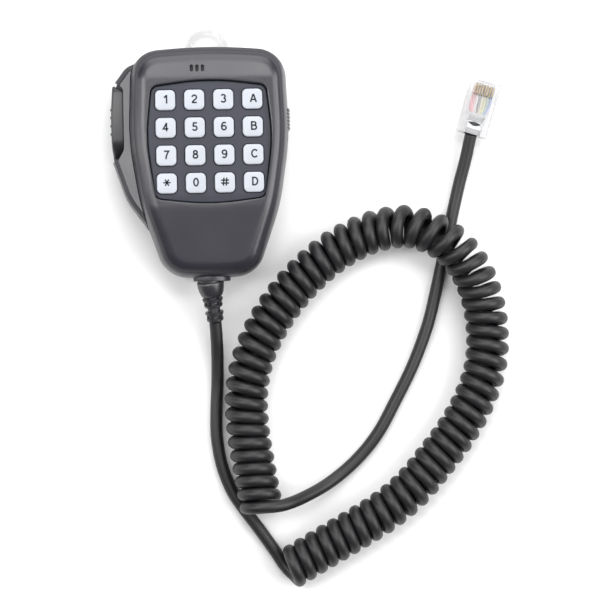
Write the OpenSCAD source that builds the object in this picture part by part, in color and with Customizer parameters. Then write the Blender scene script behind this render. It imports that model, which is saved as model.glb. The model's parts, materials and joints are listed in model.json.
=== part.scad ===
// Hand microphone with a sixteen-key keypad, a push-to-talk lever, a hanger loop and a curly cord
// that ends in an eight-way modular plug. It lies on its back: +Z out of the keypad, +Y to the
// hanger loop, +X to the right as the keypad is read. The origin is under the middle of the
// microphone without its cord.

/* [Case] */
// Height of the case from its back to its front face
case_h = 28; // [27.5:0.1:28.5]
// Height of the parting plane between the covers
part_z = 13; // [12.9:0.05:13.1]
// Wall thickness of the covers
wall = 2; // [1.9:0.05:2.1]
// Radius of the soft edge round the front face
front_edge = 4.4; // [4.2:0.1:4.5]
// Radius of the soft edge round the back
back_edge = 6; // [5.5:0.1:6]

/* [Keypad] */
// Spacing of the key columns
key_dx = 11.03; // [11:0.01:11.05]
// Spacing of the key rows
key_dy = 10.55; // [10.5:0.01:10.6]
// Side of a key cap
key_side = 7.7; // [7.5:0.05:7.8]
// Corner radius of a key cap
key_round = 1.9; // [1.5:0.1:2.2]
// How far a key travels when it is pressed
key_travel = 0.6; // [0.5:0.05:0.6]

/* [Push-to-talk lever] */
// Turn of the lever from rest to fully pressed, in degrees
ptt_turn = 4.5; // [3:0.5:4.5]
// Radius of the lever's hinge pin
ptt_pin_r = 0.9; // [0.85:0.01:0.9]

/* [Hanger loop] */
// Outer radius of the loop
loop_r = 8.35; // [8.2:0.05:8.5]
// Width of the loop's band
loop_band = 3; // [2.8:0.1:3.2]
// Thickness of the loop
loop_t = 2.4; // [2.2:0.1:2.6]

/* [Cord] */
// Diameter of the cord's jacket
cord_d = 4.8; // [4.6:0.1:4.8]
// Outer diameter of the curly stretch
coil_d = 17; // [16:0.5:17]

/* [Plug] */
// Width of the plug's body
plug_w = 11.68; // [11.6:0.02:11.7]
// Length of the plug's body
plug_l = 21.46; // [21.3:0.02:21.5]
// Height of the plug's body without its latch
plug_h = 6.6; // [6.5:0.02:6.7]

/* [Hidden] */
$fn = 48;

// ---- places that the pieces share ----
mid_x = 3.6;                    // centre plane of the case
exit_z = part_z;                // height of the cord's exit
exit_y = -41.6;                 // outer face of the exit collar
relief_droop = 13;              // how far the relief sags, in degrees
relief_sweep = 4;               // how far it bends to the right, in degrees
key_mid_y = 11.9;               // middle row gap of the keypad
panel_z = 24.2;                 // underside of the keypad panel
panel_top = 26.5;
panel_flange_h = 1.7;           // the rim that holds the panel under the front cover
panel_flange = 0.9;             // how far it stands out
key_top = 27.7;
flange_top = panel_z - 0.2;     // top of a key's flange, under the panel
flange_h = 0.8;
board_z = 20.1;                 // underside of the circuit board
board_t = 1.6;
mat_t = 1.2;
mic_at = [-0.6, 41.2];          // capsule
slot_at = [-0.6, 39.7];         // its three openings
slot_pitch = 2.1;
case_screw_at = [[-19, 42], [19, 42], [-11.5, -30], [11.5, -30]];
board_screw_at = [[-12.5, 39.2], [12.5, 39.2], [-12, -17], [12, -17]];
ptt_pin_at = [-25.6, 10];
ptt_z = [4.5, 15.6];            // lever's lower and upper face
ptt_in_x = -28.7;               // lever's inner face, just under the wing's rim
plunger_at = [22, 10];          // y and z of the switch plunger
plunger_r = 1.5;
ridge_ys = [16, 19.1, 22.4, 25.3];
wing_top = 18.5;
wing_bottom = 2.5;
slot_z = 17;                    // height of the lock slider
slider_y = [16, 24.6];
slider_travel = 4;
hanger_y = 44.6;                // hanger pin
hanger_z = 2.6;
hanger_pin_r = 0.8;
loop_y = 48.45;                 // centre of the loop's arc
plug_at = [105.35, 13.6, 3.6];  // middle of the plug's rear lower edge
plug_turn = -17.4;

// ---- outlines: each corner is [x, y, radius, steps], anticlockwise ----
case_half = [[17.5, -39.2, 11.7, 10], [27, -12, 80, 4], [30.9, 13, 100, 5],
    [29.5, 46.9, 11.5, 11]];
case_corners = concat([[0, -40.35, 140, 3]], case_half, [[0, 49.6, 210, 4]],
    [for (i = [3:-1:0]) [-case_half[i][0], case_half[i][1], case_half[i][2], case_half[i][3]]]);
panel_half = [[20.9, -21.4, 3, 5], [23.8, 2, 60, 4], [21.7, 20.9, 3, 5]];
panel_corners = concat([[0, -23.9, 90, 4]], panel_half, [[0, 23.7, 90, 4]],
    [for (i = [2:-1:0]) [-panel_half[i][0], panel_half[i][1], panel_half[i][2], panel_half[i][3]]]);
wing_corners = [[-15.5, -27.8, 3, 3], [-12, 0, 20, 3], [-12, 40, 6, 3], [-17, 46, 3, 3],
    [-27.9, 41.6, 7, 4], [-32.9, 34.8, 8, 5], [-34.2, 21, 60, 4], [-33.9, 6, 14, 5],
    [-28.5, -10.1, 25, 4]];
board_corners = [[-17.5, -24.5, 2, 3], [17.5, -24.5, 2, 3], [24, -2, 6, 3], [25.6, 35, 8, 4],
    [15, 42.2, 2, 3], [-15, 42.2, 2, 3], [-25.6, 35, 8, 4], [-24, -2, 6, 3]];

function unit(v) = v / norm(v);
function flat(p) = [p[0], p[1]];
function turned(v, a) = [v[0] * cos(a) - v[1] * sin(a), v[0] * sin(a) + v[1] * cos(a)];
// one rounded corner, as [x, y, outward x, outward y] for each step
function corner_arc(before, here, after) =
    let (p = flat(here), u1 = unit(flat(before) - p), u2 = unit(flat(after) - p),
         half = acos(u1 * u2) / 2, r = here[2],
         centre = p + unit(u1 + u2) * r / sin(half),
         first = unit(p + u1 * r / tan(half) - centre), sweep = 180 - 2 * half)
    [for (i = [0:here[3]]) let (n = turned(first, sweep * i / here[3]), q = centre + n * r)
        [q[0], q[1], n[0], n[1]]];
function rounded(corners) = let (c = len(corners))
    [for (i = [0:c - 1]) each corner_arc(corners[(i + c - 1) % c], corners[i], corners[(i + 1) % c])];
function inset(outline, d) = [for (p = outline) [p[0] - p[2] * d, p[1] - p[3] * d]];
function lifted(points, z) = [for (p = points) [p[0], p[1], z]];

case_line = rounded(case_corners);
panel_line = rounded(panel_corners);
wing_line = rounded(wing_corners);
board_line = rounded(board_corners);

// ---- lofts: a closed skin through rings with the same number of points ----
module skin(rings) {
    n = len(rings[0]);
    m = len(rings);
    polyhedron(
        points = [for (r = rings) each r],
        faces = concat([[for (i = [0:n - 1]) i]],
            [for (k = [0:m - 2], i = [0:n - 1])
                [k * n + i, (k + 1) * n + i, (k + 1) * n + (i + 1) % n]],
            [for (k = [0:m - 2], i = [0:n - 1])
                [k * n + i, (k + 1) * n + (i + 1) % n, k * n + (i + 1) % n]],
            [[for (i = [n - 1:-1:0]) (m - 1) * n + i]]));
}

front_draft = 2;                // how far the front cover's sides lean in
back_draft = 0.8;
arc_steps = 6;
// the front face falls away above and below the keypad
top_fold_y = 35.8;
low_fold_y = -12.3;
fold_round = 1.5;
top_slope = 0.14;
low_slope = 0.12;
low_curve = 0.0015;             // the lower part also curves, per mm
face_rows = [0.88, 0.76, 0.64, 0.52];   // rings across the face, as shares of its outline
function fold(d, slope) = slope * d * d / (d + fold_round);
function fall(y) = y > top_fold_y ? fold(y - top_fold_y, top_slope)
    : y < low_fold_y ? fold(low_fold_y - y, low_slope) + low_curve * pow(low_fold_y - y, 2) : 0;
function squash(y) = 1 - fall(y) / (case_h - part_z);
function squashed(points, h) = [for (p = points) [p[0], p[1], part_z + h * squash(p[1])]];
function pulled_in(points, s) =
    [for (p = points) [p[0] * s, key_mid_y + (p[1] - key_mid_y) * s]];
// a body that stands on the parting plane and rounds over towards its far face; up is 1 or -1
module half_case(up, height, edge, shrink) {
    side = height - edge;
    draft = up > 0 ? front_draft : back_draft;
    rings = concat([[0, 0]],
        [for (i = [0:arc_steps]) let (a = 90 * i / arc_steps)
            [draft + edge * (1 - cos(a)), side + edge * sin(a)]]);
    lines = [for (r = rings) inset(case_line, r[0] + shrink)];
    top = lines[len(lines) - 1];
    if (up > 0) skin(concat(
        [for (k = [0:len(rings) - 1]) squashed(lines[k], rings[k][1])],
        [for (s = face_rows) squashed(pulled_in(top, s), height)]));
    else skin([for (i = [len(rings) - 1:-1:0]) lifted(lines[i], part_z - rings[i][1])]);
}

module rounded_square(side, r) {
    h = side / 2;
    polygon(inset(rounded([[-h, -h, r, 6], [h, -h, r, 6], [h, h, r, 6], [-h, h, r, 6]]), 0));
}

// ---- case ----
cover_gap = 0.2;                // between the front cover's side and the wing's top
post_r = 2.8;
screw_r = 1.25;
module front_cover() {
    color("dimgray") translate([mid_x, 0, 0]) difference() {
        union() {
            difference() {
                half_case(1, case_h - part_z, front_edge, 0);
                translate([0, 0, -0.01]) half_case(1, case_h - part_z - wall, front_edge - wall / 2, wall);
            }
            intersection() {
                half_case(1, case_h - part_z, front_edge, 0);
                union() {
                    for (p = case_screw_at) translate([p[0], p[1], part_z + 0.1])
                        cylinder(h = case_h - part_z - 1.2, r = post_r);
                    for (p = board_screw_at) translate([p[0], p[1], board_z + board_t])
                        cylinder(h = case_h - board_z - board_t - 1.2, r = 1.8);
                    translate([mic_at[0] - mid_x, mic_at[1], board_z + 1])
                        cylinder(h = case_h - board_z - 2.2, r = 4.6);
                }
            }
            intersection() {
                translate([0, -36.5, exit_z]) rotate([90, 0, 0]) cylinder(h = -exit_y - 36.5, r = 7.2);
                translate([-10, -60, part_z]) cube([20, 40, 20]);
            }
        }
        translate([0, key_mid_y, panel_top - 6]) linear_extrude(10) polygon(inset(panel_line, -0.3));
        translate([0, key_mid_y, panel_z - 2]) linear_extrude(panel_flange_h + 2.05)
            polygon(inset(panel_line, -panel_flange - 0.15));
        for (i = [-1:1]) translate([slot_at[0] - mid_x + i * slot_pitch, slot_at[1], case_h - 4])
            linear_extrude(5) hull() for (s = [-1, 1]) translate([0, s * 0.65]) circle(0.6, $fn = 24);
        translate([mic_at[0] - mid_x, mic_at[1], board_z]) cylinder(h = 25.7 - board_z, r = 3.8);
        for (p = case_screw_at) translate([p[0], p[1], part_z - 1]) cylinder(h = 11, r = screw_r - 0.15);
        for (p = board_screw_at) translate([p[0], p[1], board_z]) cylinder(h = 4.6, r = 0.7);
        relief_bore();
        translate([26, slider_y[0] - slider_travel - 0.3, slot_z - 1.7])
            cube([10, slider_y[1] - slider_y[0] + slider_travel - 1, 3.4]);
    }
}

relief_neck_r = 4.4;
relief_flange_r = 6.4;
relief_flange_y = -36.4;
relief_flange_t = 2.2;
module relief_bore() {
    translate([0, -30, exit_z]) rotate([90, 0, 0]) cylinder(h = 20, r = relief_neck_r);
    translate([0, relief_flange_y + 0.1, exit_z]) rotate([90, 0, 0])
        cylinder(h = relief_flange_t + 0.2, r = relief_flange_r + 0.1);
}

module wing_shape() {
    rings = [[2.4, wing_bottom], [0.9, wing_bottom + 0.8], [0.3, wing_bottom + 2], [0, 9],
        [0, 12], [0.8, wing_top - 1.9], [1.4, wing_top - 0.6], [2.2, wing_top]];
    skin([for (r = rings) lifted(inset(wing_line, r[0]), r[1])]);
}

// the pocket that the lever swings in: wide open outside, under the wing's rim inside
module ptt_pocket() {
    low = 3.9;
    translate([0, 0, low]) linear_extrude(16.1 - low) polygon([[-40, 35.2], [-32.2, 35.8],
        [-29.6, 35], [-26.4, 34.4], [-26.4, 28], [-27.4, 9.4], [-27.8, 7.4], [-30, 6.2], [-40, 5.8]]);
    translate([0, 0, low]) linear_extrude(20) polygon([[-40, 35.2], [-32.2, 35.8],
        [-29.9, 34.2], [-29, 31.5], [-29, 11.4], [-29.7, 8.8], [-31.3, 6.4], [-40, 6]]);
}

notch_half = 9.2;
module rear_cover() {
    color("dimgray") difference() {
        union() {
            difference() {
                union() {
                    translate([mid_x, 0, 0]) half_case(-1, part_z, back_edge, 0);
                    difference() {
                        wing_shape();
                        translate([mid_x, 0, -0.01])
                            half_case(1, case_h - part_z, front_edge, -cover_gap);
                    }
                }
                difference() {
                    translate([mid_x, 0, 0.01]) half_case(-1, part_z - wall, back_edge - wall / 2, wall);
                    translate([mid_x - notch_half - 3, 40.6, 0]) cube([2 * notch_half + 6, 10, 7]);
                }
            }
            intersection() {
                translate([mid_x, 0, 0]) half_case(-1, part_z, back_edge, 0.1);
                union() {
                    for (p = case_screw_at) translate([mid_x + p[0], p[1], 0])
                        cylinder(h = part_z, r = 3.4);
                    translate([ptt_pin_at[0], ptt_pin_at[1], 0]) cylinder(h = part_z, r = 2.6);
                    translate([-23.4, 19, 0]) cube([6, 6, 7]);
                }
            }
            intersection() {
                translate([mid_x, -36.5, exit_z]) rotate([90, 0, 0])
                    cylinder(h = -exit_y - 36.5, r = 7.2);
                translate([mid_x - 10, -60, part_z - 20]) cube([20, 40, 20]);
            }
        }
        ptt_pocket();
        translate([-30, 7.6, 5]) cube([6.3, 5, 6.6]);
        translate([ptt_pin_at[0], ptt_pin_at[1], 3.5]) cylinder(h = 12, r = ptt_pin_r);
        translate([-30, plunger_at[0], plunger_at[1]]) rotate([0, 90, 0])
            cylinder(h = 8, r = plunger_r + 0.2);
        for (p = case_screw_at) translate([mid_x + p[0], p[1], -1]) {
            cylinder(h = 20, r = screw_r + 0.2);
            cylinder(h = 3.6, r = 2.6);
        }
        translate([mid_x, 0, 0]) relief_bore();
        translate([mid_x - notch_half, hanger_y - 2, -1]) cube([2 * notch_half, 12, 6]);
        translate([mid_x - notch_half - 2, hanger_y, hanger_z]) rotate([0, 90, 0])
            cylinder(h = 2 * notch_half + 4, r = hanger_pin_r);
    }
}

module case_screws() {
    color("silver") for (p = case_screw_at) translate([mid_x + p[0], p[1], 0]) difference() {
        union() {
            translate([0, 0, 1]) cylinder(h = 1.6, r = 2.4);
            translate([0, 0, 2.6]) cylinder(h = 18, r = screw_r - 0.15);
        }
        for (a = [0, 90]) rotate(a) translate([-1.2, -0.3, 0.5]) cube([2.4, 0.6, 1.3]);
    }
}

// ---- keypad ----
module keypad_panel() {
    color("slategray") translate([mid_x, key_mid_y, 0]) difference() {
        union() {
            translate([0, 0, panel_z]) linear_extrude(panel_top - panel_z) polygon(inset(panel_line, 0));
            translate([0, 0, panel_z]) linear_extrude(panel_flange_h)
                polygon(inset(panel_line, -panel_flange));
        }
        for (c = [0:3], r = [0:3]) translate([(c - 1.5) * key_dx, (r - 1.5) * key_dy, panel_z - 1])
            linear_extrude(5) rounded_square(key_side + 0.5, key_round + 0.2);
    }
}

module keypad_mat() {
    window = 9.6;
    color("gray") translate([mid_x, key_mid_y, board_z + board_t]) linear_extrude(mat_t) difference() {
        polygon(inset(panel_line, 0.3));
        for (c = [0:3], r = [0:3]) translate([(c - 1.5) * key_dx, (r - 1.5) * key_dy])
            square(window, center = true);
    }
}

// col and row count from the top left key
module key(col, row) {
    pill_r = 1.8;
    pill_low = board_z + board_t + key_travel + 0.15;
    color("aliceblue")
        translate([mid_x + (col - 1.5) * key_dx, key_mid_y + (1.5 - row) * key_dy, 0]) {
        translate([0, 0, flange_top - 0.1]) linear_extrude(key_top - flange_top - 0.4)
            rounded_square(key_side, key_round);
        translate([0, 0, key_top - 0.51]) linear_extrude(0.51)
            rounded_square(key_side - 0.6, key_round - 0.3);
        translate([0, 0, flange_top - flange_h]) linear_extrude(flange_h) square(9.2, center = true);
        translate([0, 0, pill_low]) cylinder(h = flange_top - flange_h - pill_low + 0.1, r = pill_r);
    }
}

module main_board() {
    color("darkgreen") translate([mid_x, 0, board_z]) difference() {
        linear_extrude(board_t) polygon(inset(board_line, 0));
        translate([mic_at[0] - mid_x, mic_at[1], -1]) cylinder(h = 4, r = 5);
        for (p = board_screw_at) translate([p[0], p[1], -1]) cylinder(h = 4, r = 1.1);
        for (p = case_screw_at) translate([p[0], p[1], -1]) cylinder(h = 4, r = post_r + 0.4);
    }
}

module board_screws() {
    color("silver") for (p = board_screw_at) translate([mid_x + p[0], p[1], 0]) {
        translate([0, 0, board_z - 1]) cylinder(h = 1, r = 1.7);
        translate([0, 0, board_z - 0.01]) cylinder(h = 5, r = 0.7);
    }
}

module encoder_chip() {
    color("black") {
        translate([mid_x + 4, 12, board_z - 2]) cube([7.5, 10, 1.7]);
        for (i = [0:7], s = [0, 1]) translate([mid_x + 2.9 + s * 8.6, 12.5 + i * 1.27, board_z - 1.2])
            cube([1.1, 0.4, 1.2]);
    }
}

// ---- microphone ----
module microphone_capsule() {
    color("silver") translate([mic_at[0], mic_at[1], 22.2]) cylinder(h = 2.7, r = 3);
}

module capsule_grommet() {
    color("black") translate([mic_at[0], mic_at[1], 21.4]) difference() {
        cylinder(h = 3.5, r = 3.75);
        translate([0, 0, 0.8]) cylinder(h = 4, r = 3);
        translate([0, 0, -1]) cylinder(h = 4, r = 2.2);
    }
}

module dust_felt() {
    color("dimgray") translate([mic_at[0], mic_at[1], 25]) cylinder(h = 0.6, r = 3.6);
}

// ---- push-to-talk ----
module ptt_lever() {
    height = ptt_z[1] - ptt_z[0];
    color("darkslategray") difference() {
        union() {
            translate([0, 0, ptt_z[0]]) linear_extrude(height) polygon([[ptt_in_x, 32.6], [-29.4, 33.7],
                [-32.7, 33.9], [-33.5, 32.8], [-34.2, 28.5], [-34.6, 24], [-34.7, 19.5], [-34.4, 14.5],
                [-33.8, 10.5], [-33, 7.9], [-31.6, 7], [-30, 7.8], [ptt_in_x, 10]]);
            for (y = ridge_ys) translate([-34.55 + abs(y - 20.5) * 0.02, y, ptt_z[0] + 1.2])
                cylinder(h = height - 2.4, r = 0.5);
            translate([ptt_in_x - 0.8, ptt_pin_at[1] - 1.5, 5.3])
                cube([ptt_pin_at[0] - ptt_in_x + 0.8, 3, 6]);
            translate([ptt_pin_at[0], ptt_pin_at[1], 5.3]) cylinder(h = 6, r = 1.5);
        }
        translate([ptt_pin_at[0], ptt_pin_at[1], 0]) cylinder(h = 20, r = ptt_pin_r + 0.05);
    }
}

module ptt_pin() {
    color("silver") translate([ptt_pin_at[0], ptt_pin_at[1], 3.5]) cylinder(h = 9.3, r = ptt_pin_r);
}

module ptt_plunger() {
    color("white") translate([ptt_in_x + 0.4, plunger_at[0], plunger_at[1]]) rotate([0, 90, 0])
        cylinder(h = 8.1, r = plunger_r);
}

module ptt_switch() {
    color("black") difference() {
        translate([-23.4, 19, 7]) cube([6, 6, 5.8]);
        translate([-24, plunger_at[0], plunger_at[1]]) rotate([0, 90, 0])
            cylinder(h = 5.1, r = plunger_r + 0.1);
    }
}

// ---- lock slider ----
module lock_slider() {
    long = slider_y[1] - slider_y[0];
    pad_x = 33.95;
    pad_t = 0.7;
    pad_h = 5.2;
    low = slot_z - pad_h / 2;
    lean = front_draft / (case_h - part_z - front_edge);
    color("dimgray") {
        translate([0, slider_y[1], 0]) rotate([90, 0, 0]) linear_extrude(long)
            polygon([[pad_x, low], [pad_x + pad_t, low], [pad_x + pad_t - lean * pad_h, low + pad_h],
                [pad_x - lean * pad_h, low + pad_h]]);
        for (i = [0:5]) translate([pad_x + pad_t - 0.05, slider_y[0] + 0.9 + i * (long - 1.8) / 5, low + 0.2])
            rotate([0, -atan(lean), 0]) cylinder(h = pad_h - 0.4, r = 0.35);
        translate([30.2, slider_y[0] + 1.2, slot_z - 1.4]) cube([3.55, long - 3.6, 2.8]);
        translate([29.2, slider_y[0] - 1.5, slot_z - 2.4]) cube([1.2, long + 1, 4.8]);
    }
}

module lock_knob() {
    color("white") translate([26.6, slider_y[0] + 2.4, slot_z - 0.9]) cube([2.6, 1.6, 1.8]);
}

module lock_switch() {
    color("silver") difference() {
        translate([23.6, slider_y[0] - 3.4, slot_z - 2.2]) cube([3.4, 9.6, board_z - slot_z + 2.2]);
        translate([26.4, slider_y[0] - 2.2, slot_z - 1.1]) cube([2, 7.2, 2.2]);
    }
}

// ---- hanger loop ----
module hanger_loop() {
    inner = loop_r - loop_band;
    leg = loop_r - inner;
    color("white") translate([mid_x, 0, 0]) difference() {
        union() {
            translate([0, loop_y, hanger_z - loop_t / 2]) difference() {
                union() {
                    cylinder(h = loop_t, r = loop_r);
                    translate([-loop_r, hanger_y - loop_y, 0]) cube([2 * loop_r, loop_y - hanger_y, loop_t]);
                }
                translate([0, 0, -1]) cylinder(h = 5, r = inner);
                translate([-inner, -20, -1]) cube([2 * inner, 20, 5]);
                translate([-10, hanger_y - loop_y - 20, -1]) cube([20, 20, 5]);
            }
            for (s = [-1, 1]) translate([s * (inner + leg / 2) - leg / 2, hanger_y, hanger_z])
                rotate([0, 90, 0]) cylinder(h = leg, r = 1.5);
        }
        translate([-20, hanger_y, hanger_z]) rotate([0, 90, 0])
            cylinder(h = 40, r = hanger_pin_r + 0.05);
    }
}

module hanger_pin() {
    color("silver") translate([mid_x - notch_half - 1.8, hanger_y, hanger_z]) rotate([0, 90, 0])
        cylinder(h = 2 * notch_half + 3.6, r = hanger_pin_r);
}

// ---- cord ----
module relief_profile() {
    polygon([[0, 0], [5.1, 0], [4.95, 1.4], [3.9, 4.2], [3.4, 4.6], [2.6, 4.8], [2.6, 5.6],
        [4, 5.7], [4, 6.4], [3.3, 9], [2.6, 9.2], [2.6, 10], [3.5, 10.1], [3.5, 10.8],
        [2.9, 13.8], [2.5, 14.4], [0, 14.4]]);
}

module strain_relief() {
    color("black") difference() {
        union() {
            translate([mid_x, exit_y - 1.2, exit_z]) rotate([0, 0, relief_sweep])
                rotate([90 + relief_droop, 0, 0]) rotate_extrude() relief_profile();
            translate([mid_x, -38.5, exit_z]) rotate([90, 0, 0])
                cylinder(h = 5, r = relief_neck_r - 0.05);
            translate([mid_x, relief_flange_y, exit_z]) rotate([90, 0, 0])
                cylinder(h = relief_flange_t, r = relief_flange_r);
        }
        translate([mid_x, -30, exit_z]) rotate([90, 0, 0]) cylinder(h = 11, r = cord_d / 2);
    }
}

module inner_lead() {
    color("black") translate([mid_x, -26.5, exit_z]) rotate([90, 0, 0])
        cylinder(h = 14.4, r = cord_d / 2 - 0.05);
}

// eight conductors that fan out from the lead's end to the connector
module lead_wires() {
    rise = 3.4;
    run = 3;
    color("red") for (i = [0:7]) translate([mid_x + (i - 3.5) * 0.5, -26.5, exit_z - 0.6 + (i % 2) * 1.2])
        rotate([-90 + atan(rise / run), 0, -(i - 3.5) * 7]) cylinder(h = norm([rise, run]), r = 0.22);
}

module board_connector() {
    color("white") translate([mid_x - 5, -23.5, board_z - 5.8]) cube([10, 5, 5.7]);
}

// points along each stretch of the cord, chosen by hand
tail_route = [[4.6, -56.9, 9.6], [5, -63, 7.8], [5.2, -71, 4.9], [5, -81, 2.9], [4.4, -92, 2.5],
    [4.4, -102, 2.5], [6.1, -112.6, 2.5], [9.6, -122.3, 2.5], [13.9, -129.4, 2.5],
    [20.3, -138.2, 2.5], [26.3, -146.5, 2.5], [30.4, -152.8, 2.5], [33.9, -158, 3.4]];
coil_route = [[33.4, -151.7, 8.7], [43, -146.3, 8.7], [55.5, -139.3, 8.7], [68, -132, 8.7],
    [79, -123.4, 8.7], [88.2, -113, 8.7], [96.8, -102, 8.7], [104, -90, 8.7], [108.8, -77, 8.7],
    [110, -63.5, 8.8], [108.2, -50, 9.8], [103, -37.5, 12.8], [93.8, -27.4, 14.4],
    [80.5, -21.8, 12.8], [66.5, -23.4, 9.6], [53, -29.5, 8.7], [41.8, -38, 8.7], [32.4, -47.8, 8.7],
    [24.6, -59, 8.7], [18.9, -71.3, 8.7], [16.1, -85, 8.7], [16.4, -99, 8.8], [18.3, -112.8, 9.8],
    [20.4, -125.8, 11.7]];
lead_route = [[17, -128.8, 16.4], [24, -129.2, 17.2], [31, -128, 14.5], [38.5, -125.2, 9.4],
    [48.5, -119.8, 4.4], [58.5, -111.8, 2.6], [67, -101.8, 2.5], [74.4, -88.8, 2.5],
    [81.5, -75, 2.5], [87.2, -60.5, 2.5], [90.5, -48.5, 2.5], [93, -38, 2.5], [97.8, -17.6, 2.5],
    [100.7, -5.6, 3.2], [103.4, 4.6, 5], [105.35, 13.6, 6.9]];

// a curve through the route's points, and a tube of rings swept along it
function at(route, i) = route[min(max(i, 0), len(route) - 1)];
function between(a, b, c, d, t) =
    0.5 * ((2 * b) + (c - a) * t + (2 * a - 5 * b + 4 * c - d) * t * t + (3 * b - a - 3 * c + d) * t * t * t);
function smooth(route, steps) = concat(
    [for (i = [0:len(route) - 2], k = [0:steps - 1])
        between(at(route, i - 1), at(route, i), at(route, i + 1), at(route, i + 2), k / steps)],
    [route[len(route) - 1]]);
function ring_at(path, i, r, sides) =
    let (t = unit(at(path, i + 1) - at(path, i - 1)), s = unit(cross(t, [0, 0, 1])), u = cross(s, t))
    [for (k = [0:sides - 1]) let (a = 360 * (k + 0.5) / sides)
        path[i] + (s * cos(a) + u * sin(a)) * r];
module tube(route, steps, d, sides) {
    path = smooth(route, steps);
    skin([for (i = [len(path) - 1:-1:0]) ring_at(path, i, d / 2, sides)]);
}

module cord_tail() { color("black") tube(tail_route, 1, cord_d, 8); }
module curly_cord() { color("black") tube(coil_route, 1, coil_d, 12); }
module cord_lead() { color("black") tube(lead_route, 1, cord_d, 8); }

// ---- plug, made along +Y from its rear face and then laid in place ----
module placed_plug() { translate(plug_at) rotate([0, 0, plug_turn]) children(); }

contact_pitch = 1.02;
module plug_body() {
    color("white") placed_plug() difference() {
        translate([-plug_w / 2, 0, 0]) cube([plug_w, plug_l, plug_h]);
        translate([-3.2, -1, 1]) cube([6.4, 8.4, 4.6]);
        translate([-4.2, 7, 2.3]) cube([8.4, plug_l - 8.5, 1.3]);
        translate([-3, 4.4, 5]) cube([6, 1.6, 3]);
        for (i = [0:7]) translate([(i - 3.5) * contact_pitch - 0.25, plug_l - 6.2, 2.9])
            cube([0.5, 7, 5]);
    }
}

module plug_contacts() {
    color("gold") placed_plug() for (i = [0:7])
        translate([(i - 3.5) * contact_pitch - 0.17, plug_l - 5.9, 3.6]) cube([0.34, 5.2, 2.6]);
}

module plug_wires() {
    color("red") placed_plug() {
        translate([0, 6.9, 3.2]) rotate([90, 0, 0]) cylinder(h = 6.8, r = 2.1);
        for (i = [0:7]) translate([(i - 3.5) * contact_pitch, plug_l - 1.7, 2.95])
            rotate([90, 0, 0]) cylinder(h = plug_l - 9, r = 0.45);
    }
}

module plug_latch() {
    root_y = 19.6;
    latch_slope = 7.2;
    color("white") placed_plug() translate([0, root_y, -0.9]) rotate([latch_slope, 0, 0]) {
        translate([-3.1, -7.5, -0.45]) cube([6.2, 8, 0.9]);
        translate([-1.65, -16.5, -0.45]) cube([3.3, 9.5, 0.9]);
    }
}

front_cover();
rear_cover();
keypad_panel();
keypad_mat();
main_board();
encoder_chip();
key(0, 0);  // key_1
key(1, 0);  // key_2
key(2, 0);  // key_3
key(3, 0);  // key_a
key(0, 1);  // key_4
key(1, 1);  // key_5
key(2, 1);  // key_6
key(3, 1);  // key_b
key(0, 2);  // key_7
key(1, 2);  // key_8
key(2, 2);  // key_9
key(3, 2);  // key_c
key(0, 3);  // key_star
key(1, 3);  // key_0
key(2, 3);  // key_hash
key(3, 3);  // key_d
microphone_capsule();
capsule_grommet();
dust_felt();
ptt_lever();
ptt_pin();
ptt_plunger();
ptt_switch();
lock_slider();
lock_knob();
lock_switch();
hanger_loop();
hanger_pin();
case_screws();
board_screws();
strain_relief();
inner_lead();
lead_wires();
board_connector();
cord_tail();
curly_cord();
cord_lead();
plug_body();
plug_contacts();
plug_wires();
plug_latch();
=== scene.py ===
"""Hand microphone with a keypad and a curly cord, lying on its back on a white table."""

import json
import math

import bmesh
import bpy
import numpy as np
from mathutils import Matrix, Vector


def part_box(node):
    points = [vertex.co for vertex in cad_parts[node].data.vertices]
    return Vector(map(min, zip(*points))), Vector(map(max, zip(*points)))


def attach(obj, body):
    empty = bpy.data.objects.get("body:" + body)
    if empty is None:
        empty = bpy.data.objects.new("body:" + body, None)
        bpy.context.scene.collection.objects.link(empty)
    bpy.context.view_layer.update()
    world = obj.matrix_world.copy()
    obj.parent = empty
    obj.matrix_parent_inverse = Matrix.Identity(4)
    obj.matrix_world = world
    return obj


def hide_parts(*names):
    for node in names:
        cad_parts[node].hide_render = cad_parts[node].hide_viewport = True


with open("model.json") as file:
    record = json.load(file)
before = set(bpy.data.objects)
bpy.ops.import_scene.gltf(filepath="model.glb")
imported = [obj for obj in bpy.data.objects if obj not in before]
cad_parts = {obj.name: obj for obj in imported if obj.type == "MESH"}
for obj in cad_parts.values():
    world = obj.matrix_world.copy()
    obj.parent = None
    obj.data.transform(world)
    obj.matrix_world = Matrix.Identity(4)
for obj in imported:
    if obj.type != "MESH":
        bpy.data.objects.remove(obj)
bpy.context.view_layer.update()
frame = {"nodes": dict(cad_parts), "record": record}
nodes = frame["nodes"]

MM = 0.001  # shapes are worked out in millimetres and made in metres
ROOT = "case"
SHARP = 35  # degrees; sharper edges than this stay crisp, or get rounded
SHARP_CUT = 40  # the same on a piece with cuts


def node_box(node):
    """Lowest and highest corner of a CAD node, in millimetres."""
    low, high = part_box(node)
    return np.array(low) / MM, np.array(high) / MM


# ------------ places, from the frame
front_low, front_high = node_box("front_cover")
rear_high = node_box("rear_cover")[1]
panel_low, panel_high = node_box("keypad_panel")
key_low, key_high = node_box("key_1")
last_low, last_high = node_box("key_d")
lever_low, lever_high = node_box("ptt_lever")
pin_low, pin_high = node_box("hanger_pin")
hook_low, hook_high = node_box("hanger_loop")
slider_low, slider_high = node_box("lock_slider")
plug_low, plug_high = node_box("plug_body")

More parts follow.
